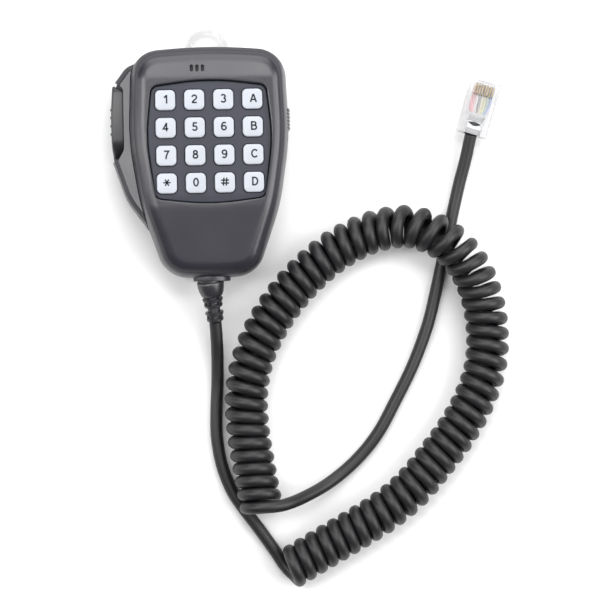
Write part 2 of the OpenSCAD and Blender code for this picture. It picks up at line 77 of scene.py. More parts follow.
MID_X = (front_low[0] + front_high[0]) / 2
PART_Z = front_low[2]
CASE_H = front_high[2]
KEY_DX = (last_low[0] - key_low[0]) / 3
KEY_DY = (key_low[1] - last_low[1]) / 3
KEYPAD_Y = (key_low[1] + last_high[1]) / 2
PANEL_TOP = panel_high[2]
KEY_TOP = key_high[2]
PIN_Y = (pin_low[1] + pin_high[1]) / 2
PIN_Z = (pin_low[2] + pin_high[2]) / 2
WING_TOP = rear_high[2]
WING_BOTTOM = 2.5
WALL = 2.0  # thickness of the covers


# ------------ camera
def set_camera():
    """Straight above the table, leaning a little to the microphone's lever side."""
    target = Vector((37.9, -49.2, 0)) * MM
    height = 1.1
    lean = math.radians(2.5)
    roll = math.radians(1.2)
    width_seen = 0.234
    film = 36
    forward = Vector((math.sin(lean), 0, -math.cos(lean)))
    up = Vector((0, 1, 0))
    right = forward.cross(up)
    turn = Matrix.Rotation(-roll, 3, "Z")
    axes = Matrix((turn @ right, turn @ up, turn @ -forward)).transposed()
    data = bpy.data.cameras.new("camera")
    data.sensor_width = film
    data.lens = film * height / width_seen
    camera = bpy.data.objects.new("camera", data)
    camera.matrix_world = Matrix.Translation(target - (turn @ forward) * height) @ axes.to_4x4()
    bpy.context.scene.collection.objects.link(camera)
    bpy.context.scene.camera = camera


set_camera()


# ------------ materials
def new_material(name):
    """An empty principled material and the parts that every one here uses."""
    material = bpy.data.materials.new(name)
    material.use_nodes = True
    tree = material.node_tree
    shader = tree.nodes["Principled BSDF"]
    place = tree.nodes.new("ShaderNodeTexCoord")
    return material, tree, shader, place.outputs["Object"]


def noise(tree, where, size, detail=2.0, roughness=0.5):
    """Noise with features of about the size, in millimetres."""
    node = tree.nodes.new("ShaderNodeTexNoise")
    node.inputs["Scale"].default_value = 1 / (size * MM)
    node.inputs["Detail"].default_value = detail
    node.inputs["Roughness"].default_value = roughness
    tree.links.new(where, node.inputs["Vector"])
    return node.outputs["Fac"]


def spread(tree, value, low, high, from_low=0.3, from_high=0.7):
    """value, moved from its own range to low..high."""
    node = tree.nodes.new("ShaderNodeMapRange")
    node.inputs["From Min"].default_value = from_low
    node.inputs["From Max"].default_value = from_high
    node.inputs["To Min"].default_value = low
    node.inputs["To Max"].default_value = high
    tree.links.new(value, node.inputs["Value"])
    return node.outputs["Result"]


def two_colours(tree, value, first, second, low=0.3, high=0.7):
    """first below low, second above high, and a blend between."""
    node = tree.nodes.new("ShaderNodeValToRGB")
    node.color_ramp.elements[0].position = low
    node.color_ramp.elements[0].color = (*first, 1)
    node.color_ramp.elements[1].position = high
    node.color_ramp.elements[1].color = (*second, 1)
    tree.links.new(value, node.inputs["Fac"])
    return node.outputs["Color"]


def bump(tree, shader, height, distance, strength=1.0):
    """Relief of the distance, in millimetres."""
    node = tree.nodes.new("ShaderNodeBump")
    node.inputs["Strength"].default_value = strength
    node.inputs["Distance"].default_value = distance * MM
    tree.links.new(height, node.inputs["Height"])
    tree.links.new(node.outputs["Normal"], shader.inputs["Normal"])


def tinted(colour, amount):
    return tuple(min(1, c * amount) for c in colour)


def maths(tree, operation, *values):
    """A maths node on one or two values."""
    node = tree.nodes.new("ShaderNodeMath")
    node.operation = operation
    for value, socket in zip(values, node.inputs):
        tree.links.new(value, socket)
    return node.outputs[0]


EDGE_DULLER = 0.5  # roughness added on rounded edges


def coarse_edges(tree, gloss):
    """The rounded edges of a moulding keep a coarser, duller finish than its faces and walls."""
    surface = tree.nodes.new("ShaderNodeNewGeometry")
    axes = tree.nodes.new("ShaderNodeSeparateXYZ")
    tree.links.new(surface.outputs["Normal"], axes.inputs[0])
    upright = maths(tree, "ABSOLUTE", axes.outputs["Z"])
    top_end = spread(tree, axes.outputs["Y"], 0, 0.35, 0.2, 0.9)
    off_wall = spread(tree, maths(tree, "ADD", upright, top_end), 0, EDGE_DULLER, 0.28, 0.52)
    off_face = spread(tree, upright, EDGE_DULLER, 0, 0.50, 0.70)
    return maths(tree, "ADD", maths(tree, "MINIMUM", off_wall, off_face), gloss)


def finish(tree, shader, shade, gloss):
    tree.links.new(shade, shader.inputs["Base Color"])
    tree.links.new(gloss, shader.inputs["Roughness"])


def moulded(name, colour, roughness, grain=0.35, depth=0.012, specular=0.5, vary=0.12,
            coarse=False):
    """Moulded plastic or rubber: fine grain, slow drifts of shade and gloss. In millimetres."""
    material, tree, shader, where = new_material(name)
    drift = 18
    slow = noise(tree, where, drift, 3)
    fine = noise(tree, where, grain, 3, 0.6)
    shade = two_colours(tree, slow, tinted(colour, 1 - vary), tinted(colour, 1 + vary))
    gloss = spread(tree, slow, roughness * 0.93, roughness * 1.07)
    if coarse:
        gloss = coarse_edges(tree, gloss)
    finish(tree, shader, shade, gloss)
    shader.inputs["Specular IOR Level"].default_value = specular
    bump(tree, shader, fine, depth)
    return material


def clear_plastic(name, roughness, tint, clarity):
    """See-through plastic; the lower its clarity, the milkier."""
    material, tree, shader, where = new_material(name)
    drift = 6
    slow = noise(tree, where, drift)
    shade = two_colours(tree, slow, tinted(tint, 0.97), tint)
    finish(tree, shader, shade, spread(tree, slow, roughness * 0.7, roughness * 1.3))
    shader.inputs["Transmission Weight"].default_value = clarity
    shader.inputs["IOR"].default_value = 1.5
    bump(tree, shader, slow, 0.01, 0.5)
    return material


def metal(name, colour, roughness, scratch=0.25):
    """Brushed metal with scratches of the width, in millimetres."""
    material, tree, shader, where = new_material(name)
    stretch = tree.nodes.new("ShaderNodeMapping")
    stretch.inputs["Scale"].default_value = (1, 12, 1)
    tree.links.new(where, stretch.inputs["Vector"])
    brushed = noise(tree, stretch.outputs["Vector"], scratch, 4)
    shade = two_colours(tree, brushed, tinted(colour, 0.86), colour)
    finish(tree, shader, shade, spread(tree, brushed, roughness * 0.8, roughness * 1.25))
    shader.inputs["Metallic"].default_value = 1.0
    bump(tree, shader, brushed, 0.004)
    return material


case_plastic = moulded("case_plastic", (0.015, 0.014, 0.0215), 0.34, specular=0.7, coarse=True)
lever_plastic = moulded("lever_plastic", (0.013, 0.0125, 0.016), 0.42, specular=0.7)
panel_plastic = moulded("panel_plastic", (0.0255, 0.0265, 0.041), 0.5, grain=0.25, depth=0.006,
                        specular=0.4)
key_plastic = moulded("key_plastic", (0.415, 0.435, 0.48), 0.36, grain=0.6, depth=0.004,
                      vary=0.02)
legend_ink = moulded("legend_ink", (0.012, 0.014, 0.022), 0.5, grain=0.15, depth=0.003,
                     specular=0.3)
cord_rubber = moulded("cord_rubber", (0.008, 0.0074, 0.0086), 0.46, grain=0.5, depth=0.01)
relief_rubber = moulded("relief_rubber", (0.015, 0.014, 0.018), 0.34, grain=0.4, specular=0.75)
mat_rubber = moulded("mat_rubber", (0.2, 0.2, 0.21), 0.6)
board_mask = moulded("board_mask", (0.02, 0.12, 0.05), 0.35, grain=0.8, depth=0.01)
chip_epoxy = moulded("chip_epoxy", (0.02, 0.02, 0.02), 0.55, grain=0.2)
white_plastic = moulded("white_plastic", (0.75, 0.75, 0.72), 0.45)
felt_fibre = moulded("felt_fibre", (0.10, 0.10, 0.105), 0.9, grain=0.1, depth=0.05)
clamp_plastic = moulded("clamp_plastic", (0.30, 0.30, 0.31), 0.4, grain=0.5, depth=0.005,
                        vary=0.05)
plated_steel = metal("plated_steel", (0.62, 0.62, 0.60), 0.3)
gold_plate = metal("gold_plate", (0.62, 0.48, 0.30), 0.35, 0.4)
clear_loop = clear_plastic("clear_loop", 0.2, (0.88, 0.88, 0.88), 0.9)
clear_plug = clear_plastic("clear_plug", 0.16, (0.94, 0.94, 0.95), 0.8)
milky_plug = clear_plastic("milky_plug", 0.3, (0.85, 0.86, 0.87), 0.35)
WIRE_COLOURS = {  # in their order across the plug
    "red": (0.75, 0.10, 0.14),
    "pink": (0.85, 0.30, 0.34),
    "white": (0.82, 0.80, 0.78),
    "black": (0.06, 0.05, 0.05),
    "cream": (0.82, 0.74, 0.50),
    "yellow": (0.80, 0.72, 0.22),
    "green": (0.25, 0.50, 0.45),
    "blue": (0.12, 0.25, 0.62),
}
wire_materials = {
    name: moulded("wire_" + name, colour, 0.3, grain=0.3, depth=0.002, vary=0.04)
    for name, colour in WIRE_COLOURS.items()
}
SLOT_MATERIALS = {
    "case": case_plastic,
    "panel": panel_plastic,
    "lever": lever_plastic,
    "key": key_plastic,
    "mat": mat_rubber,
    "board": board_mask,
    "chip": chip_epoxy,
    "metal": plated_steel,
    "rubber": relief_rubber,
    "felt": felt_fibre,
    "white_part": white_plastic,
    "clear": clear_loop,
    "cord": cord_rubber,
    "wires": wire_materials["red"],
    "gold": gold_plate,
}


def wear(node, material):
    node.data.materials.clear()
    node.data.materials.append(material)


def finish_cad_nodes():
    """Every CAD node gets the material of its slot."""
    for part in frame["record"]["subparts"]:
        wear(nodes[part["node"]], SLOT_MATERIALS[part["material_slot"]])


finish_cad_nodes()


# ------------ mesh helpers
def add_object(name, data, material, body, replaces=()):
    """A piece that moves with a body and stands in for the CAD nodes that it replaces."""
    data.materials.append(material)
    piece = bpy.data.objects.new(name, data)
    bpy.context.scene.collection.objects.link(piece)
    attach(piece, body)
    if replaces:
        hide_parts(*replaces)
    return piece


def to_mesh(name, points, faces, sharp=SHARP):
    """points are in millimetres; edges sharper than the angle stay crisp."""
    data = bpy.data.meshes.new(name)
    data.from_pydata([tuple(float(c) * MM for c in p) for p in points], [], faces)
    data.update()
    work = bmesh.new()
    work.from_mesh(data)
    bmesh.ops.remove_doubles(work, verts=work.verts, dist=1e-8)
    bmesh.ops.recalc_face_normals(work, faces=work.faces)
    work.to_mesh(data)
    work.free()
    data.shade_smooth()
    data.set_sharp_from_angle(angle=math.radians(sharp))
    return data


def add_part(name, part, material, replaces=(), body=ROOT, sharp=SHARP):
    """A piece made of (points, faces), in millimetres."""
    return add_object(name, to_mesh(name, *part, sharp), material, body, replaces)


def loft(rings, closed=False):
    """Points and faces of a skin through rings that all have the same number of points."""
    count, total = len(rings[0]), len(rings)
    points = [p for ring in rings for p in ring]
    spans = total if closed else total - 1
    faces = []
    for k in range(spans):
        this, following = k * count, (k + 1) % total * count
        for i in range(count):
            j = (i + 1) % count
            faces.append((this + i, following + i, following + j, this + j))
    if not closed:
        faces.append(tuple(range(count)))
        faces.append(tuple(reversed(range((total - 1) * count, total * count))))
    return points, faces


def merged(parts):
    """Several (points, faces) as one."""
    points, faces = [], []
    for more_points, more_faces in parts:
        start = len(points)
        points += list(more_points)
        faces += [tuple(start + i for i in face) for face in more_faces]
    return points, faces


def cut(piece, cutters, bevel=0.0):
    """Takes the cutters' (points, faces) out of the piece, and softens the new edges."""
    for points, faces in cutters:
        tool = bpy.data.objects.new("cutter", to_mesh("cutter", points, faces))
        bpy.context.scene.collection.objects.link(tool)
        step = piece.modifiers.new("cut", "BOOLEAN")
        step.object = tool
        step.solver = "EXACT"
        apply_modifiers(piece)
        bpy.data.objects.remove(tool)
    if bevel:
        soften(piece, bevel)
        apply_modifiers(piece)
    else:
        piece.data.set_sharp_from_angle(angle=math.radians(SHARP_CUT))
    return piece


def soften(piece, width):
    """Rounds the sharp edges. Works on a CAD node too."""
    weld = piece.modifiers.new("weld", "WELD")
    weld.merge_threshold = 0.002 * MM
    edge = piece.modifiers.new("edge", "BEVEL")
    edge.width = width * MM
    edge.segments = 2
    edge.limit_method = "ANGLE"
    edge.angle_limit = math.radians(SHARP)
    edge.harden_normals = True
    edge.use_clamp_overlap = True


def apply_modifiers(piece):
    """Not for a CAD node: its mesh stays as it came."""
    shown = piece.evaluated_get(bpy.context.evaluated_depsgraph_get())
    data = bpy.data.meshes.new_from_object(shown)
    piece.modifiers.clear()
    piece.data = data


def turned(vector, angle):
    """The 2-D vector, turned anticlockwise."""
    c, s = math.cos(angle), math.sin(angle)
    return np.array([vector[0] * c - vector[1] * s, vector[0] * s + vector[1] * c])


def unit(vector):
    return vector / np.linalg.norm(vector)


def rounded(corners, step):
    """Outline through corners (x, y, radius), anticlockwise: rows of x, y, outward x, outward y."""
    rows = []
    for i, (x, y, radius) in enumerate(corners):
        here = np.array([x, y], float)
        back = unit(np.array(corners[i - 1][:2]) - here)
        ahead = unit(np.array(corners[(i + 1) % len(corners)][:2]) - here)
        half = math.acos(np.dot(back, ahead)) / 2
        centre = here + unit(back + ahead) * radius / math.sin(half)
        first = unit(here + back * radius / math.tan(half) - centre)
        sweep = math.pi - 2 * half
        steps = max(4, math.ceil(math.degrees(sweep) / step))
        for k in range(steps + 1):
            normal = turned(first, sweep * k / steps)
            rows.append([*(centre + normal * radius), *normal])
    return np.array(rows)


def rounded_box(low, high, radius, step):
    """Outline of a rectangle with rounded corners."""
    (x0, y0), (x1, y1) = low, high
    return rounded([(x0, y0, radius), (x1, y0, radius), (x1, y1, radius), (x0, y1, radius)], step)


def inset(outline, distance):
    """The outline's points, moved inwards."""
    return outline[:, :2] - outline[:, 2:] * distance


def by_angle(points, centre, count):
    """The closed outline again, with one point on each of count rays from centre."""
    rel = points - centre
    angles = np.unwrap(np.arctan2(rel[:, 1], rel[:, 0]))
    keep = np.concatenate([[True], np.diff(angles) > 1e-7])
    angles = np.append(angles[keep], angles[0] + 2 * math.pi)
    rel = np.vstack([rel[keep], rel[:1]])
    rays = np.arange(count) * 2 * math.pi / count
    rays = angles[0] + (rays - angles[0]) % (2 * math.pi)
    return np.column_stack([np.interp(rays, angles, rel[:, i]) for i in (0, 1)]) + centre


def raised(points, z, shift=(0, 0)):
    """2-D points at a height, shifted sideways."""
    return np.column_stack([points[:, :2] + shift, np.full(len(points), z)])


def both_sides(right_half, bottom, top):
    """A symmetric outline's corners from the bottom one, the right side's and the top one."""
    left = [(-x, y, r) for x, y, r in reversed(right_half)]
    return [bottom, *right_half, top, *left]


def quarter(steps):
    """Angles from 0 to a right angle."""
    return [math.pi / 2 * k / steps for k in range(steps + 1)]


def slab(outline, low, high, edge_low, edge_high, steps, shift=(0, 0)):
    """A plate of an outline with rounded lower and upper edges."""
    rings = [(edge_low * (1 - math.sin(a)), low + edge_low * (1 - math.cos(a)))
             for a in quarter(steps)]
    rings += [(edge_high * (1 - math.cos(a)), high - edge_high * (1 - math.sin(a)))
              for a in quarter(steps)]
    return loft([raised(inset(outline, d), z, shift) for d, z in rings])


def prism(outline, low, high, shift=(0, 0)):
    """A plate with plain edges, to cut with."""
    return slab(outline, low, high, 0.01, 0.01, 1, shift)


def lathe(profile, count):
    """Turns (radius, height) pairs about Z; the ends close at radius 0."""
    angles = np.arange(count) * 2 * math.pi / count
    rings = [np.column_stack([r * np.cos(angles), r * np.sin(angles), np.full(count, z)])
             for r, z in profile]
    return loft(rings)


def moved(part, matrix):
    """(points, faces), with the points put through the matrix."""
    points, faces = part
    return [tuple(matrix @ Vector(p)) for p in points], faces


def box_part(low, high):
    """(points, faces) of a plain box."""
    x0, y0, z0 = low
    x1, y1, z1 = high
    ring = [(x0, y0), (x1, y0), (x1, y1), (x0, y1)]
    return loft([[(x, y, z) for x, y in ring] for z in (z0, z1)])


# ------------ cord
CORD_D = 4.8
HELIX_R = 6.05  # of the coil's turns, at the middle of the cord
# The routes are part.scad's, apart from the ends where the straight parts meet the coil.
TAIL_ROUTE = [
    (4.6, -56.9, 9.7), (5, -63, 7.8), (5.2, -71, 4.9), (5, -81, 2.9), (4.4, -92, 2.5),
    (4.4, -102, 2.5), (6.1, -112.6, 2.5), (9.6, -122.3, 2.5), (13.9, -129.4, 2.5),
    (20.3, -138.2, 2.5), (26.1, -146.7, 2.5), (29.9, -152.6, 2.6)]
COIL_ROUTE = [
    (31.6, -152.8, 8.8), (43, -146.3, 8.7), (55.5, -139.3, 8.7), (68, -132, 8.7),
    (79, -123.4, 8.7), (88.2, -113, 8.7), (96.8, -102, 8.7), (104, -90, 8.7), (108.8, -77, 8.7),
    (110, -63.5, 8.8), (108.2, -50, 9.8), (103, -37.5, 12.8), (93.8, -27.4, 14.4),
    (80.5, -21.8, 12.8), (66.5, -23.4, 9.6), (53, -29.5, 8.7), (41.8, -38, 8.7), (32.4, -47.8, 8.7),
    (24.6, -59, 8.7), (18.9, -71.3, 8.7), (16.1, -85, 8.7), (16.4, -99, 8.8), (18.3, -112.8, 9.8),
    (20.4, -125.8, 11.5), (21, -129, 11.8)]
LEAD_ROUTE = [
    (29.3, -127.8, 16.3), (38.5, -124.9, 10.2), (48.5, -119.8, 4.6), (58.5, -111.8, 2.7),
    (67, -101.8, 2.5), (74.4, -88.8, 2.5), (81.5, -75, 2.5), (87.2, -60.5, 2.5), (90.5, -48.5, 2.5),
    (93, -38, 2.5), (97.8, -17.6, 2.5), (100.7, -5.6, 3.2), (103.4, 4.6, 5), (105.35, 13.6, 6.9)]
TURN_START = math.radians(-45)  # where round the coil the tail comes in
TURN_END = math.radians(90)  # and the lead goes out
WHOLE_TURNS = 60
STEPS_A_TURN = 24
COIL_SAMPLES = 4000
FORWARD_BLUR, BEND_BLUR = 120, 240  # samples that the coil's direction and bend are averaged over
ROUTE_STEPS = 8  # between two points of the tail's or the lead's route


def smooth_route(route, steps):
    """A smooth curve through the points of a route."""
    p = np.array(route, float)
    p = np.vstack([2 * p[0] - p[1], p, 2 * p[-1] - p[-2]])
    out = []
    for i in range(1, len(p) - 2):
        a, b, c, d = p[i - 1:i + 3]
        for k in range(steps):
            t = k / steps
            out.append(0.5 * (2 * b + (c - a) * t + (2 * a - 5 * b + 4 * c - d) * t ** 2
                              + (3 * b - a - 3 * c + d) * t ** 3))
    out.append(p[-2])
    return np.array(out)


def along(points):
    """How far along the line each point is."""
    return np.concatenate([[0], np.cumsum(np.linalg.norm(np.diff(points, axis=0), axis=1))])


def smoothed(values, width):
    """A running mean over width samples, weighted to their middle."""
    kernel = np.hanning(width)
    padded = np.concatenate([np.full(width, values[0]), values, np.full(width, values[-1])])
    return np.convolve(padded, kernel / kernel.sum(), "same")[width:-width]


def resampled(places, known, rows):
    """The rows, each known at a place of its own, at other places."""
    return np.stack([np.interp(places, known, rows[:, i]) for i in range(3)], 1)


def unit_rows(rows):
    return rows / np.linalg.norm(rows, axis=1)[:, None]


def helix():
    """The curly stretch: turns lie against each other inside a bend and fan out on its outside."""
    line = smooth_route(COIL_ROUTE, 40)
    length = along(line)
    s = np.linspace(0, length[-1], COIL_SAMPLES)
    centre = resampled(s, length, line)
    forward = np.gradient(centre, s, axis=0)
    forward = unit_rows(np.stack([smoothed(forward[:, i], FORWARD_BLUR) for i in range(3)], 1))
    bend = smoothed(np.linalg.norm(np.gradient(forward, s, axis=0), axis=1), BEND_BLUR)
    density = 1 - HELIX_R * bend
    turn = np.concatenate([[0], np.cumsum((density[1:] + density[:-1]) / 2 * np.diff(s))])
    total = TURN_END - TURN_START + 2 * math.pi * WHOLE_TURNS
    phase = TURN_START + turn / turn[-1] * total
    steps = round(total / (2 * math.pi) * STEPS_A_TURN)
    wanted = np.linspace(phase[0], phase[-1], steps + 1)
    places = np.interp(wanted, phase, s)
    middle = resampled(places, s, centre)
    ahead = resampled(places, s, forward)
    side = unit_rows(np.column_stack([ahead[:, 1], -ahead[:, 0], np.zeros(len(ahead))]))
    up = np.cross(side, ahead)
    return middle + HELIX_R * (np.cos(wanted)[:, None] * side + np.sin(wanted)[:, None] * up)


def cord_line():
    """The whole cord's middle line: tail, coil and lead, which flow into each other."""
    coil = helix()
    tail = smooth_route([*TAIL_ROUTE, coil[0], coil[4]], ROUTE_STEPS)
    lead = smooth_route([coil[-5], coil[-1], *LEAD_ROUTE], ROUTE_STEPS)
    return np.vstack([tail[:-ROUTE_STEPS - 1], coil, lead[ROUTE_STEPS + 1:]])


def make_cord(with_pieces):
    """The cord as one curve; with_pieces, the pieces at its far end, is not used."""
    line = cord_line()
    data = bpy.data.curves.new("cord", "CURVE")
    data.dimensions = "3D"
    data.bevel_depth = CORD_D / 2 * MM
    data.bevel_resolution = 5
    data.use_fill_caps = True
    spline = data.splines.new("POLY")
    spline.points.add(len(line) - 1)
    flat = np.column_stack([line * MM, np.ones(len(line))]).ravel()
    spline.points.foreach_set("co", flat)
    spline.use_smooth = True
    cord = add_object("cord", data, cord_rubber, ROOT,
                      ("cord_tail", "curly_cord", "cord_lead"))


# ------------ plug
PLUG_W, PLUG_L, PLUG_H = 11.68, 21.46, 6.6
PLUG_TURN = math.radians(-17.4)
CONTACT_PITCH = 1.02
CONTACT_X = [(i - 3.5) * CONTACT_PITCH for i in range(8)]
CONTACT_LOW = 3.4
WIRE_R = 0.46
WEDGE_TOP = 5.72


def plug_matrix():
    """From the plug's own frame, +Y to its nose from its rear lower edge, to its place."""
    turn = Matrix.Rotation(PLUG_TURN, 4, "Z")
    middle = turn @ Vector((0, PLUG_L / 2, PLUG_H / 2))
    return Matrix.Translation(Vector((plug_low + plug_high) / 2) - middle) @ turn


PLUG_PLACE = plug_matrix()


def plug_part(name, part, material, replaces=()):
    """A piece made in the plug's own frame."""
    return add_part(name, moved(part, PLUG_PLACE), material, replaces)


def wire_part(line):
    """A round wire along a line of points, with flat ends."""
    angles = np.arange(12) * 2 * math.pi / 12
    rings = []
    for i, point in enumerate(line):
        ahead = unit(line[min(i + 1, len(line) - 1)] - line[max(i - 1, 0)])
        side = unit(np.cross(ahead, (0, 0, 1)))
        up = np.cross(side, ahead)
        rings.append([point + WIRE_R * (math.cos(a) * side + math.sin(a) * up) for a in angles])
    return loft(rings)


def plug_shell():
    """The clear body: hollow behind, slotted for the contacts, stepped at the sides of its nose."""
    half = PLUG_W / 2
    shell = plug_part("plug_shell", box_part((-half, 0, 0), (half, PLUG_L, PLUG_H)), clear_plug,
                      ("plug_body",))
    cutters = [
        box_part((-3.3, -1, 0.9), (3.3, 8.2, 5.7)),
        box_part((-4.3, 7.4, 2.2), (4.3, PLUG_L - 1.4, 3.9)),
        box_part((-2.95, -1, 5.6), (2.95, 7.1, 8)),
        box_part((-half - 1, 14.2, -1), (-half + 0.5, PLUG_L + 1, 1.2)),
        box_part((half - 0.5, 14.2, -1), (half + 1, PLUG_L + 1, 1.2)),
    ]
    for x in CONTACT_X:
        cutters.append(box_part((x - 0.27, PLUG_L - 6.3, CONTACT_LOW), (x + 0.27, PLUG_L + 1, 8)))
    return cut(shell, [moved(c, PLUG_PLACE) for c in cutters], bevel=0.16)


def plug_wedge():
    """The milky plate over the jacket, with a lens-shaped window."""
    plate = slab(rounded_box((-3.2, 0.25), (3.2, 8.5), 0.3, 15), WEDGE_TOP - 0.25, WEDGE_TOP,
                 0.05, 0.08, 2)
    wedge = plug_part("plug_wedge", plate, milky_plug)
    lens = rounded([(-2.85, 4.5, 0.1), (0, 3.1, 2.5), (2.85, 4.5, 0.1), (0, 5.05, 3)], 15)
    return cut(wedge, [moved(prism(lens, WEDGE_TOP - 1, WEDGE_TOP + 1), PLUG_PLACE)])


def plug_jacket():
    """The cord's end, squeezed flat inside the plug."""
    jacket = lathe([(0, 0), (2.2, 0), (2.3, 0.3), (2.3, 6.0), (2.0, 6.6), (0, 6.6)], 32)
    lay = PLUG_PLACE @ Matrix.Translation((0, 0.1, 3.3)) @ Matrix.Rotation(-math.pi / 2, 4, "X")
    squeeze = Matrix.Diagonal((1.15, 0.85, 1, 1))
    return add_part("plug_jacket", moved(jacket, lay @ squeeze), cord_rubber,
                    ("plug_wires",))


def plug_wires():
    """The conductors fan out from the jacket, in two layers, to one row under the contacts."""
    pieces = []
    for i, x in enumerate(CONTACT_X):
        colour = list(WIRE_COLOURS)[i]
        bunched = x * 0.42
        lift = 0.5 * (-1) ** i
        line = smooth_route([(bunched, 6.2, 3.3 + lift), (bunched * 1.2, 7.4, 3.25 + lift * 0.6),
                             (x * 0.85, 9.6, 3.1), (x, 11.8, 3.05), (x, 15.5, 3.05),
                             (x, PLUG_L - 1.8, 3.05)], 6)
        pieces.append(plug_part("plug_wire_" + colour, wire_part(line),
                                wire_materials[colour]))
    return pieces


def plug_contacts():
    """Thin blades in their slots."""
    blades = [box_part((x - 0.125, PLUG_L - 5.6, CONTACT_LOW), (x + 0.125, PLUG_L - 1.7, 6.15))
              for x in CONTACT_X]
    return plug_part("plug_blades", merged(blades), gold_plate, ("plug_contacts",))


def plug_clamps():
    """Two bars across the wedge."""
    bars = merged([box_part((-2.9, 0.4, WEDGE_TOP + 0.02), (2.9, 2.3, WEDGE_TOP + 0.2)),
                   box_part((-2.9, 5.2, WEDGE_TOP + 0.02), (2.9, 6.7, WEDGE_TOP + 0.3))])
    clamps = plug_part("plug_clamps", bars, clamp_plastic)
    soften(clamps, 0.12)
    apply_modifiers(clamps)
    return clamps


def plug_latch():
    """The CAD's own latch, clear and with rounded edges."""
    latch = nodes["plug_latch"]
    wear(latch, clear_plug)
    soften(latch, 0.15)
    return latch


make_cord([plug_shell(), plug_wedge(), plug_jacket(), *plug_wires(), plug_contacts(),
           plug_clamps(), plug_latch()])

# ------------ outlines of the case
CASE = rounded(both_sides(
    [(17.5, -39.2, 11.7), (27, -12, 80), (30.9, 13, 100), (29.5, 46.9, 11.5)],
    (0, -40.35, 140), (0, 49.6, 210)), 1.5)
PANEL = rounded(both_sides(
    [(20.9, -21.4, 3), (23.8, 2, 60), (21.7, 20.9, 3)], (0, -23.9, 90), (0, 23.7, 90)), 2)
PANEL[:, 1] += KEYPAD_Y
WING = rounded([
    (-15.5, -27.8, 3), (-12, 0, 20), (-12, 40, 6), (-17, 46, 3), (-27.9, 41.6, 7),
    (-32.9, 34.8, 8), (-34.2, 21, 60), (-33.9, 6, 14), (-28.5, -10.1, 25)], 2)
RAYS = 540  # points on a ring of the case
CENTRE = np.array([0.0, 9.0])  # of the rays
FRONT_DRAFT = 2.0  # how far a cover's wall leans in, up to its rounded edge
BACK_DRAFT = 0.8
FRONT_EDGE = 4.4
BACK_EDGE = 6.0
CHAMFER = 0.3  # along the parting plane
FRONT_H = CASE_H - PART_Z
TOP_FOLD_Y, LOW_FOLD_Y, FOLD_ROUND = 35.8, -12.3, 1.5
TOP_SLOPE, LOW_SLOPE, LOW_CURVE = 0.14, 0.12, 0.0015
WALL_LEAN = math.radians(20)  # of the front cover's wall, where its rounded edge starts
WALL_IN = 1.8  # how far in that edge starts
ROUND = (FRONT_DRAFT + FRONT_EDGE - WALL_IN) / math.cos(WALL_LEAN)
WALL_TOP = FRONT_H - ROUND * (1 - math.sin(WALL_LEAN))
SWELL = math.tan(WALL_LEAN) * (WALL_TOP - CHAMFER) / WALL_IN


def case_ring(distance, z):
    return raised(by_angle(inset(CASE, distance), CENTRE, RAYS), z, (MID_X, 0))


def panel_ring(distance, z):
    return raised(by_angle(inset(PANEL, distance), CENTRE, RAYS), z, (MID_X, 0))


def fall(ring):
    """How far the front face has dropped away above or below the keypad, at each point."""
    above = np.clip(ring[:, 1] - TOP_FOLD_Y, 0, None)
    below = np.clip(LOW_FOLD_Y - ring[:, 1], 0, None)
    return (TOP_SLOPE * above ** 2 / (above + FOLD_ROUND)
            + LOW_SLOPE * below ** 2 / (below + FOLD_ROUND) + LOW_CURVE * below ** 2)


def front_ring(distance, height):
    """A ring of the front cover, at a height over the parting plane where the face is level."""
    ring = case_ring(distance, PART_Z + height)
    ring[:, 2] -= height * fall(ring) / FRONT_H
    return ring


def wall_ring(t, out=0.0):
    """A ring of the cover's swelling wall: t runs from the parting edge up to the rounded edge."""
    return front_ring(WALL_IN * t ** SWELL - out, CHAMFER + (WALL_TOP - CHAMFER) * t)


def face_ring(ring):
    """The ring, dropped with the front face."""
    ring[:, 2] -= fall(ring)
    return ring


def between(first, second, steps):
    """The rings that divide the way from the first to the second into steps, without those two."""
    return [first + (second - first) * k / steps for k in range(1, steps)]


